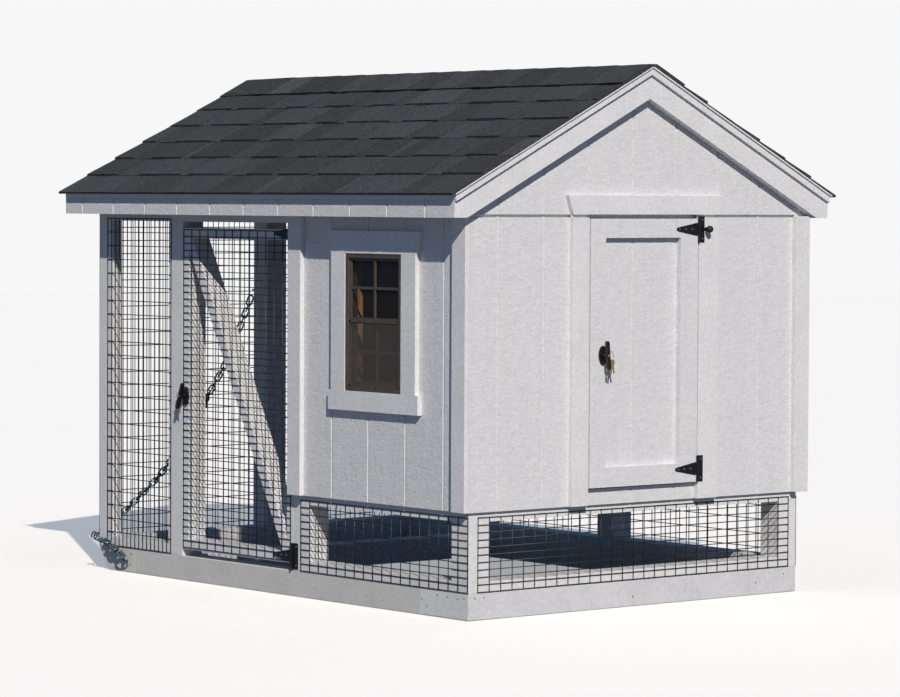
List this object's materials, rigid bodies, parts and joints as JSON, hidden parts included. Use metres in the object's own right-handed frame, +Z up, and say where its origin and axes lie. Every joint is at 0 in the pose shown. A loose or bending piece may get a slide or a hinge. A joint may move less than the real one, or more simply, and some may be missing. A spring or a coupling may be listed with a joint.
{
  "type": "chicken coop",
  "caption": "Small wooden chicken coop on skids: a raised house with door, window, pop door and nest boxes, joined to a wire run under one shingled gable roof.",
  "frame": {"origin": "on the ground, under the middle of the whole coop's outer box", "axes": "+X towards the house end with its door, -Y towards the front with the window and the run door, +Z up"},
  "size_m": [2.3336, 1.8062, 1.8876],
  "materials": {
    "painted_wood": "satin exterior paint on wood and embossed siding",
    "bare_wood": "bare softwood and plywood",
    "black_hardware": "black powder coat, semi-gloss",
    "coated_wire": "black vinyl-coated welded wire",
    "bronze_aluminium": "dark bronze painted aluminium",
    "window_glass": "clear float glass",
    "asphalt_shingle": "mineral granules, matte",
    "galvanised_chain": "zinc-coated steel"
  },
  "bodies": {
    "coop": {"barge_right": "painted_wood", "beam_left": "painted_wood", "beam_middle": "painted_wood", "beam_right": "painted_wood", "chain": "galvanised_chain", "door_casing": "painted_wood", "fascia_back": "painted_wood", "fascia_front": "painted_wood", "gable_left": "painted_wood", "gable_right": "painted_wood", "glass_upper": "window_glass", "hinge_door_bottom_leaf": "black_hardware", "hinge_door_top_leaf": "black_hardware", "hinge_run_bottom_leaf": "black_hardware", "hinge_run_top_leaf": "black_hardware", "house_floor": "bare_wood", "mesh_back": "coated_wire", "mesh_front_left": "coated_wire", "mesh_house_front": "coated_wire", "mesh_house_right": "coated_wire", "mesh_left_end": "coated_wire", "nest_box": "bare_wood", "partition": "painted_wood", "post_back_left": "painted_wood", "post_back_middle": "painted_wood", "post_back_partition": "painted_wood", "post_back_right": "painted_wood", "post_front_left": "painted_wood", "post_front_middle": "painted_wood", "post_front_partition": "painted_wood", "post_front_right": "painted_wood", "post_left_centre": "painted_wood", "roof_deck": "bare_wood", "runner_back": "painted_wood", "runner_front": "painted_wood", "shingles": "asphalt_shingle", "siding_back": "painted_wood", "siding_front": "painted_wood", "siding_right": "painted_wood", "sill_plates": "painted_wood", "top_plates": "painted_wood", "trim_corner_front": "painted_wood", "trim_corner_right": "painted_wood", "trim_house_left": "painted_wood", "window_casing": "painted_wood", "window_frame": "bronze_aluminium"},
    "house_door": {"door_right": "painted_wood", "hinge_door_top_strap": "black_hardware", "hinge_door_bottom_strap": "black_hardware", "door_handle_rose": "black_hardware"},
    "house_door_handle": {"door_handle_handle": "black_hardware"},
    "run_door": {"run_door": "painted_wood", "mesh_run_door": "coated_wire", "hinge_run_top_strap": "black_hardware", "hinge_run_bottom_strap": "black_hardware", "run_handle_rose": "black_hardware"},
    "run_door_handle": {"run_handle_handle": "black_hardware"},
    "window_sash": {"sash_lower": "bronze_aluminium", "glass_lower": "window_glass"},
    "pop_door": {"pop_door": "painted_wood"}
  },
  "joints": [
    {"name": "house_door_hinge", "type": "hinge", "parent": "coop", "child": "house_door", "pos_m": [1.1368, 0.2465, 0.8826], "axis": [0, 0, 1], "range_deg": [0, 115]},
    {"name": "house_door_latch", "type": "hinge", "parent": "house_door", "child": "house_door_handle", "pos_m": [1.1322, -0.2018, 0.8763], "axis": [-1, 0, 0], "range_deg": [0, 90]},
    {"name": "run_door_hinge", "type": "hinge", "parent": "coop", "child": "run_door", "pos_m": [0.1332, -0.778, 0.7061], "axis": [0, 0, 1], "range_deg": [0, 90]},
    {"name": "run_door_latch", "type": "hinge", "parent": "run_door", "child": "run_door_handle", "pos_m": [-0.5096, -0.7734, 0.682], "axis": [0, 1, 0], "range_deg": [0, 70]},
    {"name": "window_slide", "type": "slide", "parent": "coop", "child": "window_sash", "axis": [0, 0, 1], "range_m": [0, 0.199]},
    {"name": "pop_door_slide", "type": "slide", "parent": "coop", "child": "pop_door", "axis": [0, 0, 1], "range_m": [0, 0.3048]}
  ]
}
